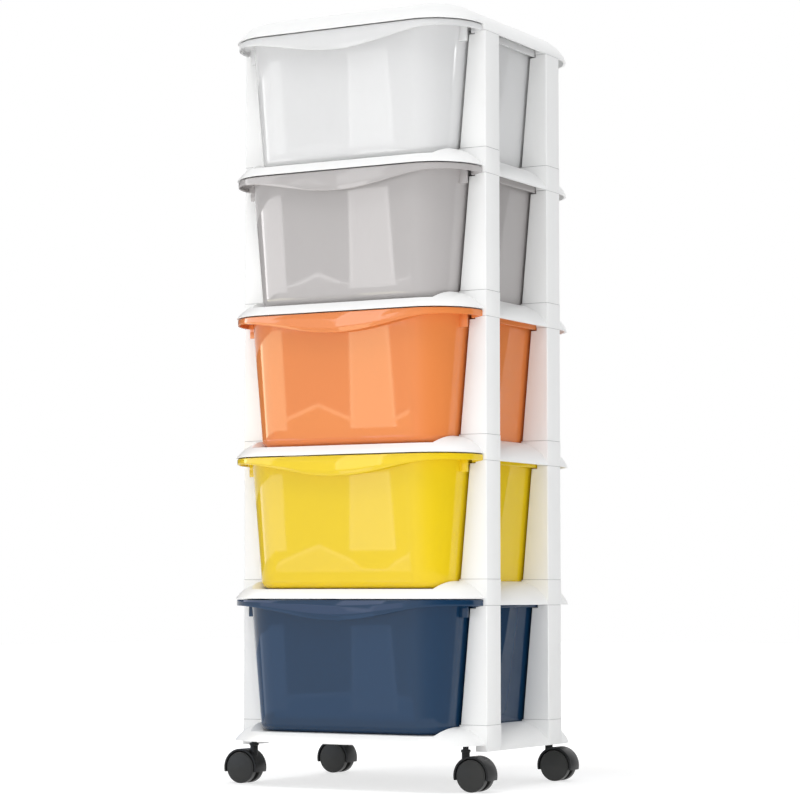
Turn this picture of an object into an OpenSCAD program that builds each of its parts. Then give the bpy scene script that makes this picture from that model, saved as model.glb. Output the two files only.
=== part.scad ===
/* [Tower] */
// Width over the side faces of the posts
tower_w = 356; // [320:1:400]
// Depth over the front and rear faces of the posts
post_span = 210; // [190:1:240]
// Height of one tier, from shelf to shelf
tier_pitch = 180; // [150:1:220]

/* [Shelves] */
// Height of a shelf, between the post below and the post above
shelf_h = 32; // [30:1:40]
// How far the rim stands out beyond the posts, front and back
rim_reach = 74; // [66:1:84]
// Plan radius of the rim's corners
corner_r = 69; // [62:1:74]
// Width of the rounded rim, from its outer edge to its crest
rim_w = 38.5; // [36:0.5:42]
// Roundness of the rim, where 2 is an ellipse and less is flatter
rim_power = 1.55; // [1.4:0.05:2]
// Crest of the rim below the shelf's upper face
crest_drop = 2; // [1:0.5:3]
// Tray floor and front lip below the shelf's upper face
tray_drop = 12; // [10:0.5:14]
// Height of the gap under the front lip that takes the drawer's skirt
lip_gap = 8; // [7:0.5:10]
// Thickness of the tray floor and of the rim's shell
shelf_wall = 3; // [2:0.5:3.5]
// Height of the cover's crest above its underside
cover_h = 32.5; // [30:0.5:36]
// Depth of the shallow panel in the cover
panel_drop = 2; // [1:0.5:3]

/* [Posts] */
// Depth of a post, front to back
post_d = 38; // [34:1:44]
// Width of a post at its foot
foot_w = 37; // [34:1:40]
// Width of a post at its head
head_w = 23.4; // [21:0.2:26]
// Wall of a post
post_wall = 2.5; // [2:0.1:3]
// Height of the pegs that the posts slip over
peg_h = 11; // [8:1:16]

/* [Drawers] */
// Gap between a drawer's side and the posts
drawer_gap = 3.8; // [2.5:0.1:5]
// Wall of a drawer
drawer_wall = 2.2; // [1.6:0.1:3]
// Rounding of a drawer's bottom edges
drawer_round = 12; // [8:0.5:14]
// How far the foot of a drawer's front stands out beyond the posts
front_foot = 48; // [40:1:50]
// How far the head of a drawer's front stands out beyond the posts
front_head = 60; // [54:1:62]
// Plan radius of a drawer's front corners at the foot
front_foot_r = 38; // [30:1:46]
// Plan radius of a drawer's front corners at the head
front_head_r = 53; // [44:1:56]
// Plan radius of a drawer's rear corners
rear_r = 30; // [20:1:40]
// Height of the skirt at its ends
skirt_end_h = 8; // [6:0.5:12]
// How much deeper the skirt hangs in the middle
skirt_wave = 18; // [8:1:26]
// Inset of the skirt from the outer edge of the shelf above
skirt_inset = 4.8; // [4:0.1:6]
// Thickness of the skirt and the rim
rim_t = 2.2; // [1.6:0.1:3]
// Height of the rim along a drawer's sides and back
side_rim_h = 10; // [7:0.5:12]

/* [Casters] */
// Wheel diameter
wheel_dia = 40; // [36:1:42]
// Width of one wheel
wheel_w = 9.2; // [8:0.1:10]
// Thickness of the web between a caster's wheels
web_t = 8; // [7:0.5:9]
// How far the wheels trail behind the stem
trail = 13.3; // [12:0.1:17]
// Wall of the hood over the wheels
hood_wall = 2.5; // [1.5:0.1:3]
// Height of the base's lower edge above the floor
base_lift = 48.5; // [48:0.5:56]
// Distance of the stems in from the side faces
stem_in = 24; // [22:1:27]
// Distance of the stems out from the posts' front and rear faces
stem_out = 11; // [11:1:16]
// Radius of the pin that the hood turns on
pin_r = 2.5; // [2:0.1:2.8]
// Radius of the wheel axle
axle_r = 2; // [1.5:0.1:2.5]

/* [Hidden] */
$fn = 64;

frame_white = [0.95, 0.95, 0.94];
caster_black = [0.07, 0.07, 0.08];
axle_steel = [0.6, 0.6, 0.62];

// clearances
seat_gap = 0.3;
slide_gap = 1.2;
run_gap = 0.05;
press_gap = 0.02;

// frame
half_w = tower_w / 2;
half_span = post_span / 2;
half_d = half_span + rim_reach;
base_top = base_lift + shelf_h;
post_len = tier_pitch - shelf_h;
tiers = 5;
cover_z = base_top + tiers * tier_pitch - shelf_h;
profile_steps = 10;
far = 1000;

// blocks that take the posts
block_in = half_w - rim_w;
notch_depth = 6.4;
rim_half = half_w - head_w + notch_depth;
notch_in = rim_half + slide_gap;
notch_h = 4.2;
notch_wall = 1.6;

// tray
flank_lean = 0.8;
trough_head = half_w - rim_w;
trough_foot = trough_head - (tray_drop - crest_drop) * flank_lean;
trough_rear = half_d - rim_w;
trough_lean = trough_head - trough_foot;

// drawers, heights counted from the upper face of the shelf they stand on
tub_foot_half = half_w - foot_w - drawer_gap;
tub_lean = (foot_w - head_w) / post_len;
tub_bottom = -tray_drop + seat_gap;
drawer_top = tier_pitch - shelf_h + lip_gap - slide_gap;
tub_foot_z = tub_bottom + drawer_round;
tub_head_half = tub_foot_half + tub_lean * (drawer_top - tub_foot_z);
tub_rear_gap = 2.3;
tub_rear_lean = 8;
rim_r_more = 8;
tub_rear_foot = trough_rear - tub_rear_gap;
tub_rear_head = tub_rear_foot + tub_rear_lean;
front_gap = 0.5;
skirt_steps = 32;
wave_half = 152;
ear_w = 15;
ear_t = 4.5;
ear_h = 14;
ear_in = 1.7;
ear_out = 12.3;

// casters, heights counted from the floor
wheel_r = wheel_dia / 2;
wheel_room = 1.5;
hood_in_r = wheel_r + wheel_room;
hood_r = hood_in_r + hood_wall;
hood_w = web_t + 2 * wheel_w - 0.6;
hood_low = wheel_r - 5.5;
collar_r = 5;
stem_flange_r = 6;
stem_flange_h = 3.5;
stem_flange_z = base_lift - 0.5;
stem_seat_z = base_lift + lip_gap;
stem_neck_r = 3.65;
plug_r = 3;
plug_h = 9;
boss_r = 9;
pin_h = 15;
axle_len = web_t + 2 * wheel_w - 5;

// outline of a shelf, drawn in from its outer edge
module outline(inset) {
  hx = half_w - inset;
  hy = half_d - inset;
  r = corner_r - inset;
  square([2 * hx, 2 * (hy - r)], center = true);
  square([2 * (hx - r), 2 * hy], center = true);
  for (sx = [-1, 1])
    for (sy = [-1, 1])
      translate([sx * (hx - r), sy * (hy - r)])
        circle(r);
}

// points of the rounded edge: distance in from the outer edge, and height
function edge(w, h) = [
  for (i = [0 : profile_steps])
    let (a = 90 * i / profile_steps)
    [w * (1 - pow(cos(a), 2 / rim_power)), h * pow(sin(a), 2 / rim_power)]
];

// cross-section of a body with two rounded edges
module arch(half, w, h) {
  pts = edge(w, h);
  n = len(pts);
  polygon(concat(
    [for (p = pts) [half - p[0], p[1]]],
    [for (i = [n - 1 : -1 : 0]) [-half + pts[i][0], pts[i][1]]]
  ));
}

// flat body with the shelf's outline and a rounded edge all round
module pillow(inset, h) {
  hx = half_w - inset;
  hy = half_d - inset;
  r = corner_r - inset;
  w = rim_w - inset;
  rotate([90, 0, 0])
    linear_extrude(2 * (hy - r), center = true)
      arch(hx, w, h);
  rotate([90, 0, 90])
    linear_extrude(2 * (hx - r), center = true)
      arch(hy, w, h);
  for (k = [0 : 3])
    translate([(k == 0 || k == 3 ? 1 : -1) * (hx - r), (k < 2 ? 1 : -1) * (hy - r), 0])
      rotate([0, 0, 90 * k])
        rotate_extrude(angle = 90)
          polygon(concat(
            [[0, 0]],
            [for (p = edge(w, h)) [r - p[0], p[1]]],
            [[0, h]]
          ));
}

// hollow that the drawer stands in, open to the front, grown by a wall
module trough(wall) {
  foot = -tray_drop - wall;
  intersection() {
    rotate([90, 0, 0])
      linear_extrude(4 * half_d, center = true)
        polygon([
          [-trough_foot - wall, foot],
          [trough_foot + wall, foot],
          [trough_head + wall, -crest_drop],
          [trough_head + wall, shelf_h],
          [-trough_head - wall, shelf_h],
          [-trough_head - wall, -crest_drop]
        ]);
    rotate([90, 0, 90])
      linear_extrude(4 * half_w, center = true)
        polygon([
          [-far, foot],
          [trough_rear - trough_lean + wall, foot],
          [trough_rear + wall, -crest_drop],
          [trough_rear + wall, shelf_h],
          [-far, shelf_h]
        ]);
  }
}

// room under the front lip for the drawer's skirt
module lip_cut() {
  translate([-far / 2, -half_span - far, -far])
    cube([far, far, far + lip_gap]);
}

// the four corner blocks: wide above, narrow where a drawer's rim passes
module blocks(h) {
  y0 = half_span - post_d;
  for (sx = [0, 1])
    for (sy = [0, 1])
      mirror([sx, 0, 0])
        mirror([0, sy, 0]) {
          translate([block_in, y0, lip_gap])
            cube([half_w - block_in, post_d, h - lip_gap]);
          translate([notch_in, y0, 0])
            cube([half_w - notch_in, post_d, lip_gap]);
        }
}

// peg that stands up into the foot of a post
module foot_peg(sx, sy) {
  y0 = half_span - post_d + post_wall + seat_gap;
  x0 = half_w - foot_w + post_wall + seat_gap + tub_lean * peg_h;
  mirror([sx < 0 ? 1 : 0, 0, 0])
    mirror([0, sy < 0 ? 1 : 0, 0])
      translate([x0, y0, 0])
        cube([half_w - post_wall - seat_gap - x0, post_d - 2 * (post_wall + seat_gap), peg_h]);
}

// peg that hangs down into the head of a post
module head_peg(sx, sy) {
  y0 = half_span - post_d + post_wall + seat_gap;
  x0 = notch_in + notch_wall + seat_gap;
  mirror([sx < 0 ? 1 : 0, 0, 0])
    mirror([0, sy < 0 ? 1 : 0, 0])
      translate([x0, y0, -peg_h])
        cube([half_w - post_wall - seat_gap - x0, post_d - 2 * (post_wall + seat_gap), peg_h]);
}

// round pillar at each caster's stem, from height z up
module stem_pillars(r, z, h) {
  for (sx = [-1, 1])
    for (sy = [-1, 1])
      translate([sx * (half_w - stem_in), sy * (half_span + stem_out), z])
        cylinder(r = r, h = h);
}

// shelf with its upper face at height z, standing on posts or on casters
module shelf(z, on_casters) {
  color(frame_white)
    translate([0, 0, z - shelf_h]) {
      difference() {
        union() {
          pillow(0, shelf_h - crest_drop);
          blocks(shelf_h);
        }
        difference() {
          translate([0, 0, -1])
            pillow(shelf_wall, shelf_h - crest_drop - shelf_wall + 1);
          translate([0, 0, shelf_h])
            trough(shelf_wall);
          blocks(shelf_h);
          if (on_casters)
            stem_pillars(boss_r, lip_gap, shelf_h);
        }
        translate([0, 0, shelf_h])
          trough(0);
        lip_cut();
        if (on_casters)
          stem_pillars(plug_r + press_gap, 0, lip_gap + plug_h + seat_gap);
      }
      for (sx = [-1, 1])
        for (sy = [-1, 1]) {
          translate([0, 0, shelf_h])
            foot_peg(sx, sy);
          if (!on_casters)
            head_peg(sx, sy);
        }
    }
}

module top_cover() {
  color(frame_white)
    translate([0, 0, cover_z]) {
      difference() {
        pillow(0, cover_h);
        difference() {
          translate([0, 0, -1])
            pillow(shelf_wall, cover_h - panel_drop - shelf_wall + 1);
          blocks(cover_h);
        }
        translate([0, 0, cover_h - panel_drop])
          linear_extrude(shelf_h)
            outline(rim_w);
        lip_cut();
      }
      for (sx = [-1, 1])
        for (sy = [-1, 1])
          head_peg(sx, sy);
    }
}

module shelf_4() shelf(base_top + 4 * tier_pitch, false);
module shelf_3() shelf(base_top + 3 * tier_pitch, false);
module shelf_2() shelf(base_top + 2 * tier_pitch, false);
module shelf_1() shelf(base_top + tier_pitch, false);
module base_shelf() shelf(base_top, true);

// corner post of one tier, counted from the bottom
module post(sx, sy, tier) {
  y0 = half_span - post_d;
  mirror([sx < 0 ? 1 : 0, 0, 0])
    mirror([0, sy < 0 ? 1 : 0, 0])
      translate([0, 0, base_top + (tier - 1) * tier_pitch])
        difference() {
          translate([0, y0 + post_d, 0])
            rotate([90, 0, 0])
              linear_extrude(post_d)
                polygon([
                  [half_w, 0],
                  [half_w, post_len],
                  [half_w - head_w, post_len],
                  [half_w - foot_w, 0]
                ]);
          translate([0, y0 + post_d - post_wall, 0])
            rotate([90, 0, 0])
              linear_extrude(post_d - 2 * post_wall)
                polygon([
                  [half_w - post_wall, -1],
                  [half_w - post_wall, post_len + 1],
                  [notch_in + notch_wall, post_len + 1],
                  [notch_in + notch_wall, post_len - notch_h - notch_wall],
                  [half_w - head_w + post_wall - tub_lean * (notch_h + notch_wall), post_len - notch_h - notch_wall],
                  [half_w - foot_w + post_wall - tub_lean, -1]
                ]);
          translate([0, y0 - 1, post_len - notch_h])
            cube([notch_in, post_d + 2, notch_h + 1]);
        }
}

// four corners of a drawer's tub, drawn in by a wall
module tub(wall, top) {
  ff = [tub_foot_half - front_foot_r, -half_span - front_foot + front_foot_r];
  fh = [tub_head_half - front_head_r, -half_span - front_head + front_head_r];
  rf = [tub_foot_half - rear_r, tub_rear_foot - rear_r];
  rh = [tub_head_half - rear_r, tub_rear_head - rear_r];
  hull()
    for (sx = [-1, 1]) {
      translate([sx * ff[0], ff[1], tub_foot_z])
        rotate_extrude($fn = 32)
          translate([front_foot_r - drawer_round, 0])
            circle(drawer_round - wall, $fn = 24);
      translate([sx * rf[0], rf[1], tub_foot_z])
        rotate_extrude($fn = 32)
          translate([rear_r - drawer_round, 0])
            circle(drawer_round - wall, $fn = 24);
      translate([sx * fh[0], fh[1], drawer_top - 0.1])
        cylinder(r = front_head_r - wall, h = top, $fn = 48);
      translate([sx * rh[0], rh[1], drawer_top - 0.1])
        cylinder(r = rear_r - wall, h = top, $fn = 32);
    }
}

// plan of the narrow rim along a drawer's sides and back
module rim_plan(inset) {
  r = rear_r + rim_r_more - inset;
  x = rim_half - inset;
  y = tub_rear_head + rim_half - tub_head_half - inset;
  translate([-x, -half_span - front_gap - 1])
    square([2 * x, y - r + half_span + front_gap + 1]);
  translate([-x + r, -half_span])
    square([2 * (x - r), y + half_span]);
  for (sx = [-1, 1])
    translate([sx * (x - r), y - r])
      circle(r);
}

// plan of the skirt across a drawer's front
module skirt_plan(inset) {
  intersection() {
    outline(skirt_inset + inset);
    translate([-half_w, -half_d - 1])
      square([2 * half_w, rim_reach + 1 - front_gap - inset]);
  }
}

// lower edge of the skirt, below its top
function skirt_drop(x) = skirt_end_h + (abs(x) < wave_half ? skirt_wave * pow(cos(90 * x / wave_half), 2) : 0);

module drawer(tier, tone) {
  deep = skirt_end_h + skirt_wave;
  color(tone)
    translate([0, 0, base_top + (tier - 1) * tier_pitch])
      difference() {
        union() {
          tub(0, 0.1);
          translate([0, 0, drawer_top - rim_t])
            linear_extrude(rim_t) {
              rim_plan(0);
              skirt_plan(0);
            }
          translate([0, 0, drawer_top - side_rim_h])
            linear_extrude(side_rim_h)
              difference() {
                rim_plan(0);
                rim_plan(rim_t);
                translate([-half_w, -half_d - 1])
                  square([2 * half_w, rim_reach + 1 - front_gap]);
              }
          intersection() {
            translate([0, 0, drawer_top - deep - 1])
              linear_extrude(deep + 1)
                difference() {
                  skirt_plan(0);
                  skirt_plan(rim_t);
                }
            rotate([90, 0, 0])
              linear_extrude(half_d)
                polygon(concat(
                  [[-half_w, drawer_top]],
                  [for (i = [0 : skirt_steps])
                    let (x = half_w * (2 * i / skirt_steps - 1))
                    [x, drawer_top - skirt_drop(x)]],
                  [[half_w, drawer_top]]
                ));
          }
          for (sx = [-1, 1])
            translate([sx * (rim_half - ear_in - ear_w / 2) - ear_w / 2, -half_span - ear_out - ear_t,
                       drawer_top - skirt_end_h - ear_h])
              cube([ear_w, ear_t, skirt_end_h + ear_h]);
        }
        tub(drawer_wall, 1);
      }
}

module drawer_clear() drawer(5, [0.88, 0.89, 0.9, 0.6]);
module drawer_grey() drawer(4, [0.62, 0.6, 0.59]);
module drawer_orange() drawer(3, [0.85, 0.42, 0.2]);
module drawer_yellow() drawer(2, [0.86, 0.68, 0.16]);
module drawer_navy() drawer(1, [0.17, 0.23, 0.33]);

// place of a caster's stem, seen from above, with the wheels trailing outward
module at_stem(sx, sy) {
  translate([sx * (half_w - stem_in), sy * (half_span + stem_out), 0])
    mirror([sx < 0 ? 1 : 0, 0, 0])
      children();
}

module caster_stem(sx, sy) {
  at_stem(sx, sy) {
    translate([0, 0, stem_flange_z - pin_h])
      cylinder(r = pin_r, h = pin_h + 1);
    translate([0, 0, stem_flange_z])
      cylinder(r = stem_flange_r, h = stem_flange_h);
    translate([0, 0, stem_flange_z + 1])
      cylinder(r = stem_neck_r, h = stem_seat_z - stem_flange_z - 1);
    translate([0, 0, stem_seat_z - 1])
      cylinder(r = plug_r, h = plug_h + 1);
  }
}

module caster_hood(sx, sy) {
  collar_top = stem_flange_z - seat_gap;
  at_stem(sx, sy)
    difference() {
      union() {
        translate([trail, 0, wheel_r])
          rotate([90, 0, 0])
            difference() {
              union() {
                difference() {
                  cylinder(r = hood_r, h = hood_w, center = true);
                  cylinder(r = hood_in_r, h = hood_w + 2, center = true);
                }
                cylinder(r = hood_in_r + 1, h = web_t, center = true);
              }
              translate([-far / 2, -far - wheel_r + hood_low, -far / 2])
                cube([far, far, far]);
            }
        translate([trail, 0, wheel_r])
          rotate([90, 0, 0])
            cylinder(r = 3 * axle_r, h = web_t, center = true);
        intersection() {
          cylinder(r = collar_r, h = collar_top);
          difference() {
            translate([-collar_r, -collar_r, wheel_r])
              cube([2 * collar_r, 2 * collar_r, far]);
            translate([trail, 0, wheel_r])
              rotate([90, 0, 0])
                cylinder(r = hood_in_r, h = hood_w + 2, center = true);
          }
        }
      }
      translate([0, 0, stem_flange_z - pin_h - 0.5])
        cylinder(r = pin_r + run_gap, h = pin_h + 2);
      translate([trail, 0, wheel_r])
        rotate([90, 0, 0])
          cylinder(r = axle_r + press_gap, h = web_t + 2, center = true);
    }
}

module caster_axle(sx, sy) {
  at_stem(sx, sy)
    translate([trail, 0, wheel_r])
      rotate([90, 0, 0])
        cylinder(r = axle_r, h = axle_len, center = true);
}

// one wheel, in front of the web or behind it
module caster_wheel(sx, sy, side) {
  inner = web_t / 2 + seat_gap;
  outer = web_t / 2 + wheel_w;
  at_stem(sx, sy)
    translate([trail, 0, wheel_r])
      rotate([side < 0 ? 90 : -90, 0, 0])
        rotate_extrude()
          polygon([
            [axle_r + run_gap, inner],
            [wheel_r - 1, inner],
            [wheel_r, inner + 1],
            [wheel_r, outer - 3],
            [wheel_r - 0.6, outer - 1.5],
            [wheel_r - 2, outer - 0.5],
            [wheel_r - 4, outer],
            [0, outer + 0.8],
            [0, axle_len / 2 + 0.4],
            [axle_r + run_gap, axle_len / 2 + 0.4]
          ]);
}

module post_front_left_5() color(frame_white) post(-1, -1, 5);
module post_front_right_5() color(frame_white) post(1, -1, 5);
module post_rear_left_5() color(frame_white) post(-1, 1, 5);
module post_rear_right_5() color(frame_white) post(1, 1, 5);
module post_front_left_4() color(frame_white) post(-1, -1, 4);
module post_front_right_4() color(frame_white) post(1, -1, 4);
module post_rear_left_4() color(frame_white) post(-1, 1, 4);
module post_rear_right_4() color(frame_white) post(1, 1, 4);
module post_front_left_3() color(frame_white) post(-1, -1, 3);
module post_front_right_3() color(frame_white) post(1, -1, 3);
module post_rear_left_3() color(frame_white) post(-1, 1, 3);
module post_rear_right_3() color(frame_white) post(1, 1, 3);
module post_front_left_2() color(frame_white) post(-1, -1, 2);
module post_front_right_2() color(frame_white) post(1, -1, 2);
module post_rear_left_2() color(frame_white) post(-1, 1, 2);
module post_rear_right_2() color(frame_white) post(1, 1, 2);
module post_front_left_1() color(frame_white) post(-1, -1, 1);
module post_front_right_1() color(frame_white) post(1, -1, 1);
module post_rear_left_1() color(frame_white) post(-1, 1, 1);
module post_rear_right_1() color(frame_white) post(1, 1, 1);

module caster_front_left_stem() color(caster_black) caster_stem(-1, -1);
module caster_front_left_hood() color(caster_black) caster_hood(-1, -1);
module caster_front_left_axle() color(axle_steel) caster_axle(-1, -1);
module caster_front_left_wheel_front() color(caster_black) caster_wheel(-1, -1, -1);
module caster_front_left_wheel_back() color(caster_black) caster_wheel(-1, -1, 1);
module caster_front_right_stem() color(caster_black) caster_stem(1, -1);
module caster_front_right_hood() color(caster_black) caster_hood(1, -1);
module caster_front_right_axle() color(axle_steel) caster_axle(1, -1);
module caster_front_right_wheel_front() color(caster_black) caster_wheel(1, -1, -1);
module caster_front_right_wheel_back() color(caster_black) caster_wheel(1, -1, 1);
module caster_rear_left_stem() color(caster_black) caster_stem(-1, 1);
module caster_rear_left_hood() color(caster_black) caster_hood(-1, 1);
module caster_rear_left_axle() color(axle_steel) caster_axle(-1, 1);
module caster_rear_left_wheel_front() color(caster_black) caster_wheel(-1, 1, -1);
module caster_rear_left_wheel_back() color(caster_black) caster_wheel(-1, 1, 1);
module caster_rear_right_stem() color(caster_black) caster_stem(1, 1);
module caster_rear_right_hood() color(caster_black) caster_hood(1, 1);
module caster_rear_right_axle() color(axle_steel) caster_axle(1, 1);
module caster_rear_right_wheel_front() color(caster_black) caster_wheel(1, 1, -1);
module caster_rear_right_wheel_back() color(caster_black) caster_wheel(1, 1, 1);

top_cover();
shelf_4();
shelf_3();
shelf_2();
shelf_1();
base_shelf();
drawer_clear();
drawer_grey();
drawer_orange();
drawer_yellow();
drawer_navy();
post_front_left_5();
post_front_right_5();
post_rear_left_5();
post_rear_right_5();
post_front_left_4();
post_front_right_4();
post_rear_left_4();
post_rear_right_4();
post_front_left_3();
post_front_right_3();
post_rear_left_3();
post_rear_right_3();
post_front_left_2();
post_front_right_2();
post_rear_left_2();
post_rear_right_2();
post_front_left_1();
post_front_right_1();
post_rear_left_1();
post_rear_right_1();
caster_front_left_stem();
caster_front_left_hood();
caster_front_left_axle();
caster_front_left_wheel_front();
caster_front_left_wheel_back();
caster_front_right_stem();
caster_front_right_hood();
caster_front_right_axle();
caster_front_right_wheel_front();
caster_front_right_wheel_back();
caster_rear_left_stem();
caster_rear_left_hood();
caster_rear_left_axle();
caster_rear_left_wheel_front();
caster_rear_left_wheel_back();
caster_rear_right_stem();
caster_rear_right_hood();
caster_rear_right_axle();
caster_rear_right_wheel_front();
caster_rear_right_wheel_back();
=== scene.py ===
import math

import bmesh
import bpy
import numpy as np
from mathutils import Matrix, Vector


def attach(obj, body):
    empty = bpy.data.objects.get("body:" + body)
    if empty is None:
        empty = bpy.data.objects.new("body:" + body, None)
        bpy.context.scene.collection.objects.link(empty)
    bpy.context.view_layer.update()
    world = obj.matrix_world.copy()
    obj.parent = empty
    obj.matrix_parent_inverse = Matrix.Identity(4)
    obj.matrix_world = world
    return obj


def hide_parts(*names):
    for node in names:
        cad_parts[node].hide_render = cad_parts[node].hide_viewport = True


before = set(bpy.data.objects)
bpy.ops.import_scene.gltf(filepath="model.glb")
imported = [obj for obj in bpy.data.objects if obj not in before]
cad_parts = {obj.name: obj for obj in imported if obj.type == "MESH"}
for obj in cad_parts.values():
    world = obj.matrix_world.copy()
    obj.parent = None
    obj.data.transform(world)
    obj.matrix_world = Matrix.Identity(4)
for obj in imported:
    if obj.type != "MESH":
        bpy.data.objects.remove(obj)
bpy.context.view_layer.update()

MM = 0.001

# sizes in millimetres, the same as the solids
HALF_W = 178.0
HALF_SPAN = 105.0
HALF_D = 179.0
SHELF_H = 32.0
BASE_LIFT = 48.5
BASE_TOP = BASE_LIFT + SHELF_H
PITCH = 180.0
POST_LEN = PITCH - SHELF_H
COVER_Z = BASE_TOP + 5 * PITCH - SHELF_H
COVER_H = 32.5
PANEL_DROP = 2.0
CORNER_R = 69.0
RIM_W = 38.5
RIM_POWER = 1.55
CREST_DROP = 2.0
TRAY_DROP = 12.0
FLANK_LEAN = 0.8
LIP_GAP = 8.0
WALL = 3.0
POST_D = 38.0
POST_R = 1.4
FOOT_W = 37.0
HEAD_W = 23.4
NOTCH_IN = 162.2
NOTCH_H = 4.2
# height of the joint at each end of a post, where a dark line of painted shade is laid
SEAM = 0.5
# steps round each corner of a shelf
ARC = 14
# where cutting tools end, clear of every shelf
CUT_REACH = 300.0
CUT_TOP = 60.0
NOTCH_REACH = 400.0
NOTCH_BELOW = 50.0
PANEL_TOP = 80.0
STEM_X = HALF_W - 24.0
STEM_Y = HALF_SPAN + 11.0
STEM_SEAT_R = 9.0
TRAIL = 13.3
WHEEL_R = 20.0
WHEEL_W = 9.2
WEB_T = 8.0
HOOD_IN_R = 21.5
HOOD_R = 24.0
HOOD_LOW = 14.5
COLLAR_TOP = 47.7
COLLAR_R = 5.0
AXLE_BOSS_R = 6.0
STEM_LOW = 33.0
STEM_TOP = 65.5
PIN_R = 2.5
FLANGE_Z = 48.0
FLANGE_H = 3.5
FLANGE_R = 6.0
NECK_R = 3.65
NECK_TOP = 56.5
PLUG_R = 3.0
CORNERS = [("front_left", -1, -1), ("front_right", 1, -1), ("rear_left", -1, 1), ("rear_right", 1, 1)]
DRAWERS = ["navy", "yellow", "orange", "grey", "clear"]


# ---------------------------------------------------------------- meshes

def mesh_object(name, verts, faces, smooth=35.0):
    """A mesh object from points in millimetres, shaded smooth up to an angle."""
    me = bpy.data.meshes.new(name)
    me.from_pydata([tuple(v) for v in np.asarray(verts, float) * MM], [], [tuple(f) for f in faces])
    me.validate()
    ob = bpy.data.objects.new(name, me)
    bpy.context.scene.collection.objects.link(ob)
    face_out(ob)
    shade(ob, smooth)
    return ob


def face_out(ob):
    """Turns every face outwards."""
    bm = bmesh.new()
    bm.from_mesh(ob.data)
    bmesh.ops.recalc_face_normals(bm, faces=bm.faces)
    bm.to_mesh(ob.data)
    bm.free()


def shade(ob, angle=35.0):
    """Smooth shading, but for edges sharper than an angle."""
    ob.data.polygons.foreach_set("use_smooth", [True] * len(ob.data.polygons))
    ob.data.set_sharp_from_angle(angle=math.radians(angle))


def at_height(plan, z):
    """The points of a plan at one height, or each at its own."""
    return np.c_[plan, np.full(len(plan), z) if np.isscalar(z) else z]


def loft(rings):
    """Points and faces of a closed skin through rings that have the same number of points."""
    n = len(rings[0])
    verts = np.concatenate(rings)
    faces = []
    for k in range(len(rings) - 1):
        a, b = k * n, (k + 1) * n
        for i in range(n):
            j = (i + 1) % n
            faces.append((a + i, a + j, b + j, b + i))
    last = (len(rings) - 1) * n
    faces.append(tuple(range(n - 1, -1, -1)))
    faces.append(tuple(range(last, last + n)))
    return verts, faces


def prism(points, lo, hi, axis):
    """A closed prism of a polygon, run along x, y or z."""
    n = len(points)
    verts = []
    for level in (lo, hi):
        for p, q in points:
            verts.append({"x": (level, p, q), "y": (p, level, q), "z": (p, q, level)}[axis])
    faces = [tuple(range(n)), tuple(range(2 * n - 1, n - 1, -1))]
    faces += [(i, n + i, n + (i + 1) % n, (i + 1) % n) for i in range(n)]
    return verts, faces


def box(lo, hi):
    """A closed box between two opposite corners."""
    x0, y0, z0 = lo
    x1, y1, z1 = hi
    return prism([(x0, y0), (x1, y0), (x1, y1), (x0, y1)], z0, z1, "z")


def cylinder(r, lo, hi, center=(0, 0), axis="z", n=96):
    """A closed cylinder along x, y or z."""
    a = np.radians(np.arange(n) * 360 / n)
    return prism(list(zip(center[0] + r * np.cos(a), center[1] + r * np.sin(a))), lo, hi, axis)


def lathe(profile, n=96):
    """A solid turned about z, from (radius, height) pairs that run from its axis out and back to it."""
    verts = [(0, 0, profile[0][1])]
    a = np.radians(np.arange(n) * 360 / n)
    rings = profile[1:-1]
    for r, z in rings:
        verts += list(zip(r * np.cos(a), r * np.sin(a), np.full(n, z)))
    verts.append((0, 0, profile[-1][1]))
    faces = []
    for i in range(n):
        j = (i + 1) % n
        faces.append((0, 1 + j, 1 + i))
        for k in range(len(rings) - 1):
            b, c = 1 + k * n, 1 + (k + 1) * n
            faces.append((b + i, b + j, c + j, c + i))
        last = 1 + (len(rings) - 1) * n
        faces.append((last + i, last + j, len(verts) - 1))
    return verts, faces


def solid(name, parts):
    """One object for boolean work from several (points, faces) lists that don't touch."""
    verts, faces = [], []
    for v, f in parts:
        base = len(verts)
        verts += [tuple(p) for p in v]
        faces += [tuple(i + base for i in face) for face in f]
    return mesh_object(name, verts, faces)


def combine(ob, tool, operation):
    """Boolean of two objects, written back to the first. The second is used up."""
    mod = ob.modifiers.new("cut", "BOOLEAN")
    mod.operation = operation
    mod.object = tool
    mod.solver = "EXACT"
    deps = bpy.context.evaluated_depsgraph_get()
    me = bpy.data.meshes.new_from_object(ob.evaluated_get(deps))
    ob.modifiers.clear()
    old = ob.data
    ob.data = me
    bpy.data.meshes.remove(old)
    data = tool.data
    bpy.data.objects.remove(tool)
    bpy.data.meshes.remove(data)
    return ob


def soften(ob, width=0.5, segments=2, angle=32.0):
    """Rounds the sharp edges of a finished mesh and shades it smooth."""
    bm = bmesh.new()
    bm.from_mesh(ob.data)
    bmesh.ops.remove_doubles(bm, verts=bm.verts, dist=0.02 * MM)
    bmesh.ops.dissolve_limit(bm, angle_limit=math.radians(0.4), verts=bm.verts, edges=bm.edges)
    bm.to_mesh(ob.data)
    bm.free()
    mod = ob.modifiers.new("round", "BEVEL")
    mod.width = width * MM
    mod.segments = segments
    mod.limit_method = "ANGLE"
    mod.angle_limit = math.radians(angle)
    mod.harden_normals = False
    deps = bpy.context.evaluated_depsgraph_get()
    me = bpy.data.meshes.new_from_object(ob.evaluated_get(deps))
    ob.modifiers.clear()
    ob.data = me
    shade(ob, angle)
    return ob


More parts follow.
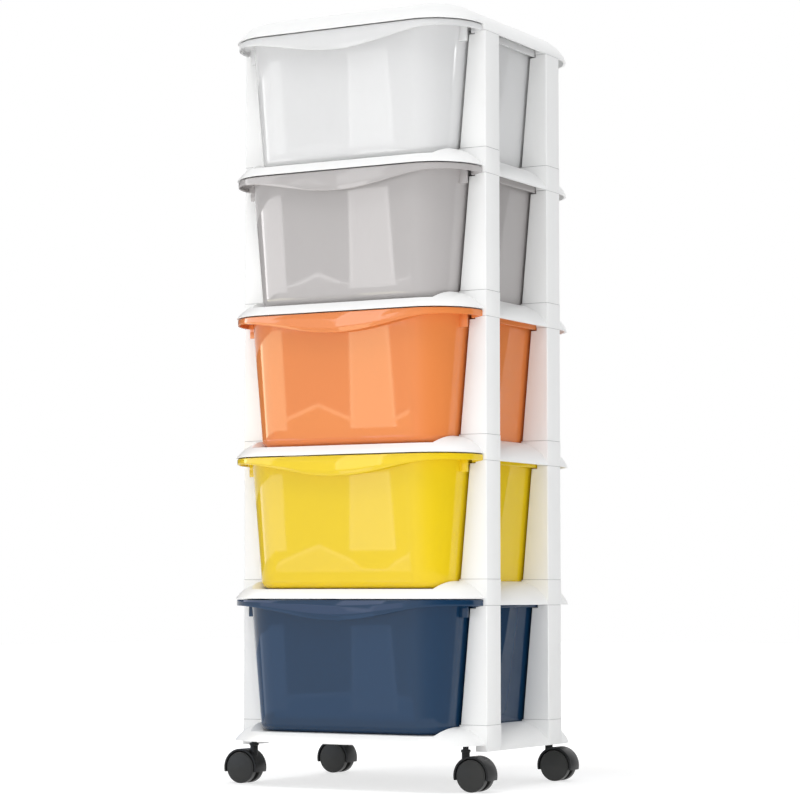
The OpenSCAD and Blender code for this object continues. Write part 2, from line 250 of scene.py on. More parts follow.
def copy_at(ob, name, offset=(0, 0, 0), flip=(1, 1, 1)):
    """A copy with its own mesh, mirrored and then moved by millimetres."""
    me = ob.data.copy()
    new = bpy.data.objects.new(name, me)
    bpy.context.scene.collection.objects.link(new)
    me.transform(Matrix.Diagonal((*flip, 1)))
    if flip[0] * flip[1] * flip[2] < 0:
        me.flip_normals()
    me.transform(Matrix.Translation(Vector(offset) * MM))
    return new


def fit(ob, body, *nodes, material=None, slot=None):
    """Puts a finished piece on its body in place of the CAD nodes."""
    if material is not None:
        ob.data.materials.clear()
        ob.data.materials.append(material)
    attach(ob, body)
    if nodes:
        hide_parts(*nodes)
    return ob


# ---------------------------------------------------------------- materials

def principled(name, color, roughness, **extra):
    """A material and its shader, with other sockets set by their names."""
    mat = bpy.data.materials.new(name)
    mat.use_nodes = True
    bsdf = mat.node_tree.nodes["Principled BSDF"]
    bsdf.inputs["Base Color"].default_value = (*color, 1)
    bsdf.inputs["Roughness"].default_value = roughness
    for key, value in extra.items():
        bsdf.inputs[key.replace("_", " ")].default_value = value
    return mat, bsdf


def grain(mat, bsdf, scale, distance, strength, rough_low, rough_high,
          color_low=None, color_high=None, color_scale=6.0):
    """Fine moulding texture: a bump, a slow change of roughness and a slight change of colour."""
    nodes, links = mat.node_tree.nodes, mat.node_tree.links
    coord = nodes.new("ShaderNodeTexCoord")
    fine = nodes.new("ShaderNodeTexNoise")
    fine.inputs["Scale"].default_value = scale
    fine.inputs["Detail"].default_value = 3
    links.new(coord.outputs["Object"], fine.inputs["Vector"])
    bump = nodes.new("ShaderNodeBump")
    bump.inputs["Strength"].default_value = strength
    bump.inputs["Distance"].default_value = distance
    links.new(fine.outputs["Fac"], bump.inputs["Height"])
    links.new(bump.outputs["Normal"], bsdf.inputs["Normal"])
    slow = nodes.new("ShaderNodeTexNoise")
    slow.inputs["Scale"].default_value = color_scale
    slow.inputs["Detail"].default_value = 2
    links.new(coord.outputs["Object"], slow.inputs["Vector"])
    rough = nodes.new("ShaderNodeMapRange")
    rough.inputs["To Min"].default_value = rough_low
    rough.inputs["To Max"].default_value = rough_high
    links.new(slow.outputs["Fac"], rough.inputs["Value"])
    links.new(rough.outputs["Result"], bsdf.inputs["Roughness"])
    if color_low:
        mix = nodes.new("ShaderNodeMix")
        mix.data_type = "RGBA"
        mix.inputs["A"].default_value = (*color_low, 1)
        mix.inputs["B"].default_value = (*color_high, 1)
        links.new(slow.outputs["Fac"], mix.inputs["Factor"])
        links.new(mix.outputs["Result"], bsdf.inputs["Base Color"])
    return mat


def paint_seam_shade(mat, bsdf, color):
    """Paints shade on the points whose seam value is 1: a painted shadow line in the joint at the end of a
    post.
    """
    nodes, links = mat.node_tree.nodes, mat.node_tree.links
    seam = nodes.new("ShaderNodeAttribute")
    seam.attribute_name = "seam"
    mix = nodes.new("ShaderNodeMix")
    mix.data_type = "RGBA"
    links.new(bsdf.inputs["Base Color"].links[0].from_socket, mix.inputs["A"])
    mix.inputs["B"].default_value = (*color, 1)
    links.new(seam.outputs["Fac"], mix.inputs["Factor"])
    links.new(mix.outputs["Result"], bsdf.inputs["Base Color"])
    return mat


def shades(color, amount):
    """A slightly darker and a slightly lighter shade."""
    return tuple(c * (1 - amount) for c in color), tuple(min(1, c * (1 + amount)) for c in color)


WHITE = (0.88, 0.88, 0.872)
# colour of the painted shade in the joints at the post ends
SEAM_SHADE_GREY = (0.42, 0.42, 0.42)
mat, bsdf = principled("frame_plastic", WHITE, 0.3, IOR=1.5)
white_plastic = grain(mat, bsdf, 900, 0.00002, 0.2, 0.26, 0.36, *shades(WHITE, 0.01))
# the post ends get a painted shadow line in their joints
paint_seam_shade(white_plastic, bsdf, SEAM_SHADE_GREY)
BLACK = (0.014, 0.0145, 0.0155)
mat, bsdf = principled("caster_plastic", BLACK, 0.3, IOR=1.5, Specular_IOR_Level=0.22)
black_plastic = grain(mat, bsdf, 1400, 0.00002, 0.25, 0.24, 0.36, *shades(BLACK, 0.1))
DISC = (0.029, 0.0295, 0.0285)
mat, bsdf = principled("wheel_plastic", DISC, 0.4, IOR=1.5, Specular_IOR_Level=0.3)
wheel_plastic = grain(mat, bsdf, 1400, 0.00002, 0.25, 0.34, 0.46, *shades(DISC, 0.1))
mat, bsdf = principled("axle_steel", (0.55, 0.55, 0.56), 0.3, Metallic=1.0)
steel = grain(mat, bsdf, 2500, 0.00001, 0.3, 0.25, 0.4)

FROST = (0.85, 0.85, 0.85)
TONES = {
    "grey": (0.44, 0.419, 0.414),
    "orange": (0.74, 0.228, 0.062),
    "yellow": (0.775, 0.55, 0.011),
    "navy": (0.006, 0.033, 0.082),
}
drawer_mat = {}
for tone, color in TONES.items():
    mat, bsdf = principled("drawer_" + tone + "_plastic", color, 0.045, IOR=1.49)
    drawer_mat[tone] = grain(mat, bsdf, 700, 0.000003, 0.03, 0.035, 0.055,
                             *shades(color, 0.02), color_scale=9)

# the clear drawer is frosted: a rough body that lets some light through, under a glossy skin
mat, bsdf = principled("drawer_clear_frosted", FROST, 0.6, IOR=1.49, Transmission_Weight=0.22,
                       Coat_Weight=1.0, Coat_Roughness=0.045, Coat_IOR=1.49, Specular_IOR_Level=0.0)
drawer_mat["clear"] = grain(mat, bsdf, 700, 0.000003, 0.03, 0.55, 0.65,
                            *shades(FROST, 0.02), color_scale=9)


# ---------------------------------------------------------------- frame

def edge(w, h, steps):
    """Distances in from the outer edge, and heights there, of a rounded rim w wide and h high."""
    a = np.radians(np.linspace(0, 90, steps + 1))
    return w * (1 - np.cos(a) ** (2 / RIM_POWER)), h * np.sin(a) ** (2 / RIM_POWER)


def outline(inset):
    """Plan of a shelf, drawn in from its outer edge, counter-clockwise."""
    r = CORNER_R - inset
    cx, cy = HALF_W - CORNER_R, HALF_D - CORNER_R
    points = []
    for k in range(4):
        sx, sy = (1, 1, -1, -1)[k], (-1, 1, 1, -1)[k]
        a = np.radians(-90 + 90 * k + np.linspace(0, 90, ARC + 1))
        points.append(np.stack([sx * cx + r * np.cos(a), sy * cy + r * np.sin(a)], 1))
    return np.concatenate(points)


def pillow(inset, h, low=0.0, steps=16):
    """Closed body with the shelf's outline, a flat underside and a rounded edge."""
    rings = [at_height(outline(inset), low)] if low else []
    for d, z in zip(*edge(RIM_W - inset, h, steps)):
        rings.append(at_height(outline(inset + d), z))
    return loft(rings)


def trough(name, wall):
    """The space that a drawer slides in, open upwards and to the front, grown by a wall."""
    head = HALF_W - RIM_W
    rear = HALF_D - RIM_W
    lean = (TRAY_DROP - CREST_DROP) * FLANK_LEAN
    foot = SHELF_H - TRAY_DROP - wall
    crest = SHELF_H - CREST_DROP
    front = -CUT_REACH + 10
    across = prism([
        (-head + lean - wall, foot), (head - lean + wall, foot), (head + wall, crest),
        (head + wall, CUT_TOP), (-head - wall, CUT_TOP), (-head - wall, crest)], -CUT_REACH, CUT_REACH, "y")
    along = prism([
        (front, foot), (rear - lean + wall, foot), (rear + wall, crest),
        (rear + wall, CUT_TOP), (front, CUT_TOP)], -CUT_REACH - 10, CUT_REACH + 10, "x")
    return combine(solid(name, [across]), solid("tool", [along]), "INTERSECT")


def block_columns(h):
    """The four corner blocks as closed prisms, wide above and narrow below."""
    inner = HALF_W - RIM_W
    section = [(NOTCH_IN, 0), (HALF_W, 0), (HALF_W, h), (inner, h), (inner, LIP_GAP), (NOTCH_IN, LIP_GAP)]
    parts = []
    for sx in (-1, 1):
        for sy in (-1, 1):
            ys = sorted((sy * (HALF_SPAN - POST_D), sy * HALF_SPAN))
            parts.append(prism([(sx * x, z) for x, z in section], ys[0], ys[1], "y"))
    return parts


def stem_seats():
    """The four solid places in the base that the stems are pressed into."""
    places = [(sx * STEM_X, sy * STEM_Y) for _, sx, sy in CORNERS]
    return [cylinder(STEM_SEAT_R, LIP_GAP, CUT_TOP, place, n=32) for place in places]


def front_notch():
    """What is cut away in front of the posts, under the front lip."""
    return box((-NOTCH_REACH, -NOTCH_REACH, -NOTCH_BELOW), (NOTCH_REACH, -HALF_SPAN, LIP_GAP))


def make_shelf(name, on_casters):
    """A shelf with its underside at z 0."""
    body = solid(name, [pillow(0, SHELF_H - CREST_DROP)])
    combine(body, solid("tool", block_columns(SHELF_H)), "UNION")
    hollow = solid("hollow", [pillow(WALL, SHELF_H - CREST_DROP - WALL, low=-1.0)])
    combine(hollow, trough("thick", WALL), "DIFFERENCE")
    combine(hollow, solid("tool", block_columns(SHELF_H + 5)), "DIFFERENCE")
    if on_casters:
        combine(hollow, solid("tool", stem_seats()), "DIFFERENCE")
    combine(body, hollow, "DIFFERENCE")
    combine(body, trough("thin", 0.0), "DIFFERENCE")
    combine(body, solid("tool", [front_notch()]), "DIFFERENCE")
    return soften(body, 0.6)


def make_cover(name):
    """The cover with its underside at z 0."""
    body = solid(name, [pillow(0, COVER_H, steps=20)])
    hollow = solid("hollow", [pillow(WALL, COVER_H - PANEL_DROP - WALL, low=-1.0)])
    combine(hollow, solid("tool", block_columns(COVER_H + 5)), "DIFFERENCE")
    combine(body, hollow, "DIFFERENCE")
    panel = prism([tuple(p) for p in outline(RIM_W)], COVER_H - PANEL_DROP, PANEL_TOP, "z")
    combine(body, solid("tool", [panel]), "DIFFERENCE")
    combine(body, solid("tool", [front_notch()]), "DIFFERENCE")
    return soften(body, 0.6)


def post_section(x0, inset):
    """Rounded rectangle from x0 out to the side of the tower, counter-clockwise, drawn in."""
    out, into = HALF_W - POST_R, x0 + POST_R
    front, rear = -HALF_SPAN + POST_R, -HALF_SPAN + POST_D - POST_R
    r = POST_R - inset
    points = []
    for cx, cy, start in ((out, front, -90), (out, rear, 0), (into, rear, 90), (into, front, 180)):
        for a in np.radians(start + np.linspace(0, 90, 5)):
            points.append((cx + r * math.cos(a), cy + r * math.sin(a)))
    return np.array(points)


def make_post(name):
    """Front right post of the lowest tier, its foot at z 0."""
    slope = (FOOT_W - HEAD_W) / POST_LEN
    top = POST_LEN - NOTCH_H
    # heights and insets of a rounded end
    ends = [(0.0, 0.5), (0.2, 0.15), (SEAM, 0.0), (SEAM + 0.2, 0.0)]
    rings = []
    for z, inset in ends + [(z, 0.0) for z in np.linspace(SEAM, top, 9)[1:]]:
        rings.append(at_height(post_section(HALF_W - FOOT_W + slope * z, inset), z))
    for z, inset in [(top, 0.0)] + [(POST_LEN - z, inset) for z, inset in ends[::-1]]:
        rings.append(at_height(post_section(NOTCH_IN, inset), z))
    verts, faces = loft(rings)
    ob = mesh_object(name, verts, faces, 40)
    # marks the post ends, where the frame material paints a shadow line
    mark = ob.data.attributes.new("seam", "FLOAT", "POINT")
    z = np.asarray(verts)[:, 2]
    mark.data.foreach_set("value", ((z <= SEAM) | (z >= POST_LEN - SEAM)).astype(float))
    return ob


def fit_white(source, node, height, flip=(1, 1, 1)):
    """A copy of a frame piece at its height, in place of its node."""
    one = copy_at(source, node + "_shell", (0, 0, height), flip)
    fit(one, "frame", node, material=white_plastic, slot="frame_white")


base = make_shelf("base_shelf_skin", True)
fit_white(base, "base_shelf", BASE_LIFT)
shelf = make_shelf("shelf_skin", False)
for k in range(1, 5):
    fit_white(shelf, "shelf_%d" % k, BASE_LIFT + PITCH * k)
cover = make_cover("cover_skin")
fit_white(cover, "top_cover", COVER_Z)
post = make_post("post_skin")
for tier in range(1, 6):
    for corner, sx, sy in CORNERS:
        fit_white(post, "post_%s_%d" % (corner, tier), BASE_TOP + PITCH * (tier - 1), (sx, -sy, 1))
for ob in (base, shelf, cover, post):
    bpy.data.objects.remove(ob)


# ---------------------------------------------------------------- drawers

DRAWER_TOP = PITCH - SHELF_H + LIP_GAP - 1.2
TUB_LOW = -TRAY_DROP + 0.3
ROUND = 12.0
TUB_FOOT_Z = TUB_LOW + ROUND
LEAN = (FOOT_W - HEAD_W) / POST_LEN
SIDE_GAP = 3.8
FOOT_HALF = HALF_W - FOOT_W - SIDE_GAP
HEAD_HALF = FOOT_HALF + LEAN * (DRAWER_TOP - TUB_FOOT_Z)
REAR_GAP = 2.3
REAR_FOOT = HALF_D - RIM_W - REAR_GAP
REAR_LEAN = 8
REAR_HEAD = REAR_FOOT + REAR_LEAN
REAR_R = 30.0
# the tub's front: how far it stands out in front of the posts and its corner radius,
# both at the foot and how much more at the head
FRONT_OUT, FRONT_OUT_MORE = 48, 12
FRONT_R, FRONT_R_MORE = 38, 15
RIM_OVER = 6.4
RIM_HALF = HALF_W - HEAD_W + RIM_OVER
RIM_R_MORE = 8
RIM_IN = 4.8
RIM_DROP = 10
# the skirt across the front: its height at the ends, how much lower it hangs in the middle,
# and half the width of that wave
SKIRT_DROP = 8
SKIRT_WAVE = 18
WAVE_HALF = 152
THICK = 2.2
EAR_IN = 1.7
EAR_AHEAD = 12.3
EAR_X = RIM_HALF - EAR_IN
EAR_Y = -HALF_SPAN - EAR_AHEAD
EAR_T = 4.5
EAR_W = 11
EAR_LOW = 22.0
# steps along the parts of a drawer's plan
STRAIGHT, REAR_ARC, SIDE, FRONT_ARC, FRONT = 6, 10, 12, 20, 20


def half_to_ring(points):
    """A whole ring from its right half, which runs from the rear middle to the front middle."""
    left = points[1:-1][::-1] * (-1, 1)
    return np.concatenate([points, left])


def tub_plan(f, inset):
    """Plan of the tub at fraction f from foot to head, drawn in."""
    a = FOOT_HALF + (HEAD_HALF - FOOT_HALF) * f - inset
    yr = REAR_FOOT + (REAR_HEAD - REAR_FOOT) * f - inset
    rr = REAR_R - inset
    yf = -HALF_SPAN - (FRONT_OUT + FRONT_OUT_MORE * f) + inset
    rf = FRONT_R + FRONT_R_MORE * f - inset
    rows = []
    for t in np.linspace(0, 1, STRAIGHT + 1)[:-1]:
        rows.append((t * (a - rr), yr))
    for g in np.radians(90 - np.linspace(0, 90, REAR_ARC + 1)):
        rows.append((a - rr + rr * math.cos(g), yr - rr + rr * math.sin(g)))
    for t in np.linspace(0, 1, SIDE + 1)[1:]:
        rows.append((a, (yr - rr) * (1 - t) + (-HALF_SPAN - 0.5) * t))
    rows.append((a, -HALF_SPAN - 2.0))
    for g in np.radians(np.linspace(0, 90, FRONT_ARC + 1)[1:]):
        rows.append((a - rf + rf * math.cos(g), yf + rf - rf * math.sin(g)))
    for t in np.linspace(1, 0, FRONT + 1)[1:]:
        rows.append((t * (a - rf), yf))
    return half_to_ring(np.array(rows))


def rim_plan(inset):
    """Outer edge of the drawer's rim: narrow along the sides and back, wide across the front."""
    x = RIM_HALF - inset
    yr = REAR_HEAD + RIM_HALF - HEAD_HALF - inset
    rr = REAR_R + RIM_R_MORE - inset
    step = -HALF_SPAN - 0.5 - inset
    cx, cy = HALF_W - CORNER_R, -(HALF_D - CORNER_R)
    r = CORNER_R - RIM_IN - inset
    rows = []
    for t in np.linspace(0, 1, STRAIGHT + 1)[:-1]:
        rows.append((t * (x - rr), yr))
    for g in np.radians(90 - np.linspace(0, 90, REAR_ARC + 1)):
        rows.append((x - rr + rr * math.cos(g), yr - rr + rr * math.sin(g)))
    for t in np.linspace(0, 1, SIDE + 1)[1:]:
        rows.append((x, (yr - rr) * (1 - t) + step * t))
    rows.append((cx + math.sqrt(r * r - min(0.0, step - cy) ** 2), step))
    for g in np.radians(np.linspace(0, 90, FRONT_ARC + 1)[1:]):
        rows.append((cx + r * math.cos(g), cy - r * math.sin(g)))
    for t in np.linspace(1, 0, FRONT + 1)[1:]:
        rows.append((t * cx, cy - r))
    return half_to_ring(np.array(rows))


def skirt_low():
    """Height of the rim's lower edge at every point of the ring."""
    plan = rim_plan(0)
    x, y = np.abs(plan[:, 0]), plan[:, 1]
    wave = SKIRT_DROP + SKIRT_WAVE * np.cos(np.radians(90 * np.minimum(x, WAVE_HALF) / WAVE_HALF)) ** 2
    skirt = (y < -HALF_SPAN - 1) | ((y < -HALF_SPAN) & (x > RIM_HALF + 1))
    return DRAWER_TOP - np.where(skirt, wave, RIM_DROP)


def make_drawer(name):
    """A drawer, with the feet of its tier's posts at z 0: up the outside, over the rim, down the inside."""
    rings = []

    def add(plan, z):
        rings.append(at_height(plan, z))

    angles = np.radians(np.linspace(-90, -5, 10))
    under = DRAWER_TOP - THICK
    head = (under - TUB_FOOT_Z) / (DRAWER_TOP - TUB_FOOT_Z)
    for g in angles:
        add(tub_plan(0, ROUND - ROUND * math.cos(g)), TUB_FOOT_Z + ROUND * math.sin(g))
    low = rings[-1]
    top = at_height(tub_plan(head, 0), under)
    for t in np.linspace(0, 1, 11)[1:]:
        rings.append(low * (1 - t) + top * t)
    edge_z = skirt_low()
    add(rim_plan(THICK), under)
    for t in (0.35, 0.7):
        add(rim_plan(THICK), under * (1 - t) + (edge_z + 0.7) * t)
    for inset, up in ((THICK, 0.7), (THICK - 0.35, 0.2), (THICK / 2, 0.0), (0.35, 0.2), (0, 0.7)):
        add(rim_plan(inset), edge_z + up)
    for t in (0.3, 0.65):
        add(rim_plan(0), (DRAWER_TOP - 1.2) * t + (edge_z + 0.7) * (1 - t))
    for inset, down in ((0, 1.2), (0.18, 0.6), (0.6, 0.18), (1.2, 0)):
        add(rim_plan(inset), DRAWER_TOP - down)
    for inset, down in ((THICK - 0.9, 0), (THICK - 0.3, 0.25), (THICK, 0.9)):
        add(tub_plan(1, inset), DRAWER_TOP - down)
    top = rings[-1]
    r = ROUND - THICK
    inner = [at_height(tub_plan(0, ROUND - r * math.cos(g)), TUB_FOOT_Z + r * math.sin(g)) for g in angles]
    low = inner[-1]
    for t in np.linspace(0, 1, 9)[1:]:
        rings.append(top * (1 - t) + low * t)
    rings += inner[-2::-1]
    verts, faces = loft(rings)
    ob = mesh_object(name, verts, faces, 40)
    ears = []
    for sx in (-1, 1):
        xs = sorted((sx * (EAR_X - EAR_W), sx * EAR_X))
        ears.append(box((xs[0], EAR_Y - EAR_T, DRAWER_TOP - EAR_LOW), (xs[1], EAR_Y, under)))
    join(ob, soften(solid("tabs", ears), 0.5))
    return ob


def join(ob, other):
    """Adds the mesh of the second object to the first."""
    bm = bmesh.new()
    bm.from_mesh(ob.data)
    bm.from_mesh(other.data)
    bm.to_mesh(ob.data)
    bm.free()
    bpy.data.objects.remove(other)
    shade(ob, 40)


tub = make_drawer("drawer_skin")
for k, tone in enumerate(DRAWERS):
    node = "drawer_" + tone
    one = copy_at(tub, node + "_tub", (0, 0, BASE_TOP + PITCH * k))
    fit(one, node, node, material=drawer_mat[tone], slot=node)
bpy.data.objects.remove(tub)


# ---------------------------------------------------------------- casters

def arc_points(cx, cy, r, start, end, steps):
    """Points of an arc in a (radius, height) profile, angles in degrees."""
    a = np.radians(np.linspace(start, end, steps + 1))
    return list(zip(cx + r * np.cos(a), cy + r * np.sin(a)))


def make_wheel(name):
    """Wheel turned about z: its inner face low, its shallow cone of a cover above."""
    inner = WEB_T / 2 + 0.3
    outer = WEB_T / 2 + WHEEL_W
    profile = [(0, inner + 3), (5, inner + 3), (5, inner), (WHEEL_R - 1, inner)]
    profile += arc_points(WHEEL_R - 0.8, inner + 0.8, 0.8, -90, 0, 4)
    profile += arc_points(WHEEL_R - 1.2, outer - 1.3, 1.2, 0, 80, 5)
    profile += [(WHEEL_R - 1.5, outer - 0.35), (WHEEL_R - 1.7, outer - 0.35)]
    profile += [(WHEEL_R - 1.9, outer - 0.05), (WHEEL_R - 2.3, outer + 0.05)]
    profile += [(1.2, outer + 1.35), (0.5, outer + 1.4), (0, outer + 1.4)]
    verts, faces = lathe(profile)
    return mesh_object(name, verts, faces, 25)


def make_hood(name):
    """Hood of a right-hand caster, its stem on the z axis."""
    half = WEB_T / 2 + WHEEL_W - 0.3

    def round_tool(name, r, reach, n=128):
        return solid(name, [cylinder(r, -reach, reach, (TRAIL, WHEEL_R), "y", n)])

    ring = round_tool(name, HOOD_R, half)
    combine(ring, round_tool("tool", HOOD_IN_R, half + 5), "DIFFERENCE")
    combine(ring, round_tool("tool", HOOD_IN_R + 1, WEB_T / 2), "UNION")
    combine(ring, solid("tool", [box((-100, -100, -50), (100, 100, HOOD_LOW))]), "DIFFERENCE")
    combine(ring, round_tool("tool", AXLE_BOSS_R, WEB_T / 2, 48), "UNION")
    collar = solid("collar", [cylinder(COLLAR_R, WHEEL_R, COLLAR_TOP, n=48)])
    combine(collar, round_tool("tool", HOOD_IN_R, half + 5), "DIFFERENCE")
    combine(ring, collar, "UNION")
    return soften(ring, 0.45, 3, 30)


def make_stem(name):
    """Stem with its flange, turned about z."""
    r = 0.5
    flange_top = FLANGE_Z + FLANGE_H
    profile = [(0, STEM_LOW), (PIN_R, STEM_LOW), (PIN_R, FLANGE_Z)]
    profile += arc_points(FLANGE_R - r, FLANGE_Z + r, r, -90, 0, 4)
    profile += arc_points(FLANGE_R - r, flange_top - r, r, 0, 90, 4)
    profile += [(NECK_R, flange_top), (NECK_R, NECK_TOP)]
    profile += [(PLUG_R, NECK_TOP), (PLUG_R, STEM_TOP), (0, STEM_TOP)]
    verts, faces = lathe(profile, 64)
    return mesh_object(name, verts, faces, 30)


wheel = make_wheel("wheel_skin")
hood = make_hood("hood_skin")
stem = make_stem("stem_skin")
for corner, sx, sy in CORNERS:
    caster = "caster_" + corner
    place = (sx * STEM_X, sy * STEM_Y, 0)
    one = copy_at(stem, caster + "_stem_turned", place)
    fit(one, "frame", caster + "_stem", material=black_plastic, slot="caster_black")
    one = copy_at(hood, caster + "_hood_shell", place, (sx, 1, 1))
    fit(one, caster, caster + "_hood", material=black_plastic, slot="caster_black")
    for side, sign in (("front", 1), ("back", -1)):
        node = caster + "_wheel_" + side
        one = copy_at(wheel, node + "_turned")
        one.data.transform(Matrix.Rotation(math.radians(90 * sign), 4, "X"))
        one.data.transform(Matrix.Translation(Vector((place[0] + sx * TRAIL, place[1], WHEEL_R)) * MM))
        fit(one, node, node, material=wheel_plastic, slot="caster_black")
    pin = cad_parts[caster + "_axle"]
    pin.data.materials.clear()
    pin.data.materials.append(steel)
for ob in (wheel, hood, stem):
    bpy.data.objects.remove(ob)


# ---------------------------------------------------------------- studio

def seen_apart(nodes, links, shader, seen):
    """What the camera, gloss and glass see, apart from the shader that lights everything else."""
    path = nodes.new("ShaderNodeLightPath")
    either = nodes.new("ShaderNodeMath")
    either.operation = "MAXIMUM"
    links.new(path.outputs["Is Camera Ray"], either.inputs[0])
    links.new(path.outputs["Is Glossy Ray"], either.inputs[1])
    anyone = nodes.new("ShaderNodeMath")
    anyone.operation = "MAXIMUM"
    links.new(either.outputs[0], anyone.inputs[0])
    links.new(path.outputs["Is Transmission Ray"], anyone.inputs[1])
    mix = nodes.new("ShaderNodeMixShader")
    links.new(anyone.outputs[0], mix.inputs["Fac"])
    links.new(shader, mix.inputs[1])
    links.new(seen, mix.inputs[2])
    return mix.outputs[0]


world = bpy.data.worlds.new("studio")
bpy.context.scene.world = world
world.use_nodes = True
nodes, links = world.node_tree.nodes, world.node_tree.links
dim = nodes["Background"]
dim.inputs["Color"].default_value = (0.965, 0.98, 1.0, 1)
dim.inputs["Strength"].default_value = 0.455
white = nodes.new("ShaderNodeBackground")
white.inputs["Color"].default_value = (1, 1, 1, 1)
white.inputs["Strength"].default_value = 1.0
split = seen_apart(nodes, links, dim.outputs[0], white.outputs[0])
links.new(split, nodes["World Output"].inputs["Surface"])

verts, faces = prism([(-6000, -6000), (6000, -6000), (6000, 9000), (-6000, 9000)], -20, -0.2, "z")
floor = mesh_object("studio_floor", verts, faces)
mat = bpy.data.materials.new("floor_paper")
mat.use_nodes = True
nodes, links = mat.node_tree.nodes, mat.node_tree.links
bsdf = nodes["Principled BSDF"]
bsdf.inputs["Base Color"].default_value = (0.5, 0.5, 0.5, 1)
bsdf.inputs["Roughness"].default_value = 0.9
bsdf.inputs["Specular IOR Level"].default_value = 0.1
# the camera sees a floor that keeps the shadow near the tower and turns white further out
glow = nodes.new("ShaderNodeEmission")
place = nodes.new("ShaderNodeTexCoord")
away = nodes.new("ShaderNodeVectorMath")
away.operation = "LENGTH"
links.new(place.outputs["Object"], away.inputs[0])
fade = nodes.new("ShaderNodeMapRange")
fade.inputs["From Min"].default_value = 0.35
fade.inputs["From Max"].default_value = 1.4
fade.inputs["To Min"].default_value = 0.62
fade.inputs["To Max"].default_value = 1.0
links.new(away.outputs["Value"], fade.inputs["Value"])
links.new(fade.outputs["Result"], glow.inputs["Strength"])
both = nodes.new("ShaderNodeAddShader")
links.new(bsdf.outputs[0], both.inputs[0])
links.new(glow.outputs[0], both.inputs[1])
# the object is lit by a pale floor, with a little more light from well in front
bounce = nodes.new("ShaderNodeBsdfDiffuse")
bounce.inputs["Color"].default_value = (0.82, 0.82, 0.82, 1)
axes = nodes.new("ShaderNodeSeparateXYZ")
links.new(place.outputs["Object"], axes.inputs[0])
ahead = nodes.new("ShaderNodeMapRange")
ahead.inputs["From Min"].default_value = -0.3
ahead.inputs["From Max"].default_value = -0.8
ahead.inputs["To Max"].default_value = 0.4
links.new(axes.outputs["Y"], ahead.inputs["Value"])
pool = nodes.new("ShaderNodeEmission")
links.new(ahead.outputs["Result"], pool.inputs["Strength"])
lit = nodes.new("ShaderNodeAddShader")
links.new(bounce.outputs[0], lit.inputs[0])
links.new(pool.outputs[0], lit.inputs[1])
# gloss sees it plain white
plain = nodes.new("ShaderNodeEmission")
path = nodes.new("ShaderNodeLightPath")
gloss = nodes.new("ShaderNodeMixShader")
links.new(path.outputs["Is Glossy Ray"], gloss.inputs["Fac"])
links.new(both.outputs[0], gloss.inputs[1])
links.new(plain.outputs[0], gloss.inputs[2])
split = seen_apart(nodes, links, lit.outputs[0], gloss.outputs[0])
links.new(split, nodes["Material Output"].inputs["Surface"])
floor.data.materials.append(mat)


def lamp(name, at, target, size, power, color=(1, 1, 1)):
    """A soft lamp in metres and watts, aimed at a point. Neither the camera nor gloss sees it."""
    data = bpy.data.lights.new(name, "AREA")
    data.shape = "RECTANGLE"
    data.size, data.size_y = size
    data.energy = power
    data.color = color
    ob = bpy.data.objects.new(name, data)
    bpy.context.scene.collection.objects.link(ob)
    ob.location = at
    ob.rotation_euler = (Vector(target) - Vector(at)).to_track_quat("-Z", "Y").to_euler()
    ob.visible_camera = False
    ob.visible_glossy = False


lamp("front_high", (-0.5, -1.9, 5.0), (0, 0, 0.4), (2.2, 2.2), 93)
lamp("front_low", (0.75, -1.2, 0.1), (0, 0, 0.15), (1.4, 0.12), 5.0)
lamp("key_left", (-1.3, -1.9, 0.25), (0, 0, 0.4), (1.2, 0.4), 5.5, (1.0, 0.99, 0.97))
lamp("rear", (-0.6, 2.6, 1.3), (0, 0, 0.45), (1.8, 1.8), 18)
lamp("right_low", (1.8, -0.4, 0.1), (0.15, 0, 0.1), (1.4, 0.12), 2.0)
lamp("right", (3.1, -1.0, 1.1), (0, 0, 0.4), (1.6, 1.6), 7.0, (0.98, 0.99, 1.0))
lamp("right_high", (1.6, -0.6, 4.4), (0, 0, 0.5), (1.2, 1.2), 28)


def card(name, points, faces, lights, color=(1, 1, 1)):
    """A studio card that only gloss sees, from points in millimetres that each have their own light."""
    ob = mesh_object(name, points, faces)
    mark = ob.data.attributes.new("light", "FLOAT", "POINT")
    mark.data.foreach_set("value", np.asarray(lights, float))
    mat = bpy.data.materials.new(name)
    mat.use_nodes = True
    nodes, links = mat.node_tree.nodes, mat.node_tree.links
    nodes.remove(nodes["Principled BSDF"])
    light = nodes.new("ShaderNodeAttribute")
    light.attribute_name = "light"
    glow = nodes.new("ShaderNodeEmission")
    glow.inputs["Color"].default_value = (*color, 1)
    links.new(light.outputs["Fac"], glow.inputs["Strength"])
    links.new(glow.outputs[0], nodes["Material Output"].inputs["Surface"])
    mat.cycles.emission_sampling = "NONE"
    ob.data.materials.append(mat)
    ob.visible_camera = False
    ob.visible_diffuse = False
    ob.visible_transmission = False
    ob.visible_volume_scatter = False
    ob.visible_shadow = False


def strip(name, low_edge, high_edge, lights, color=(1, 1, 1)):
    """A card between two rows of as many points, with one light for each pair."""
    points = [p for pair in zip(low_edge, high_edge) for p in pair]
    faces = [(2 * k, 2 * k + 2, 2 * k + 3, 2 * k + 1) for k in range(len(low_edge) - 1)]
    card(name, points, faces, np.repeat(lights, 2), color)


def corner_card(name, sx, spans, low, high, color=(1, 1, 1)):
    """An upright card curved round a front corner of a drawer, from (direction in degrees, light) pairs."""
    angles = np.radians([angle for angle, light in spans])
    x = sx * CARD_CORNER[0] + CARD_R * np.cos(angles)
    y = CARD_CORNER[1] + CARD_R * np.sin(angles)
    rows = [[(px, py, z) for px, py in zip(x, y)] for z in (low, high)]
    strip(name, *rows, [light for angle, light in spans], color)


# upright light cards in front of each drawer, seen only as the soft bands and lines in its gloss
CARD_Y = -480.0
CARD_CORNER = (109.0, -115.0)
CARD_R = 418.0
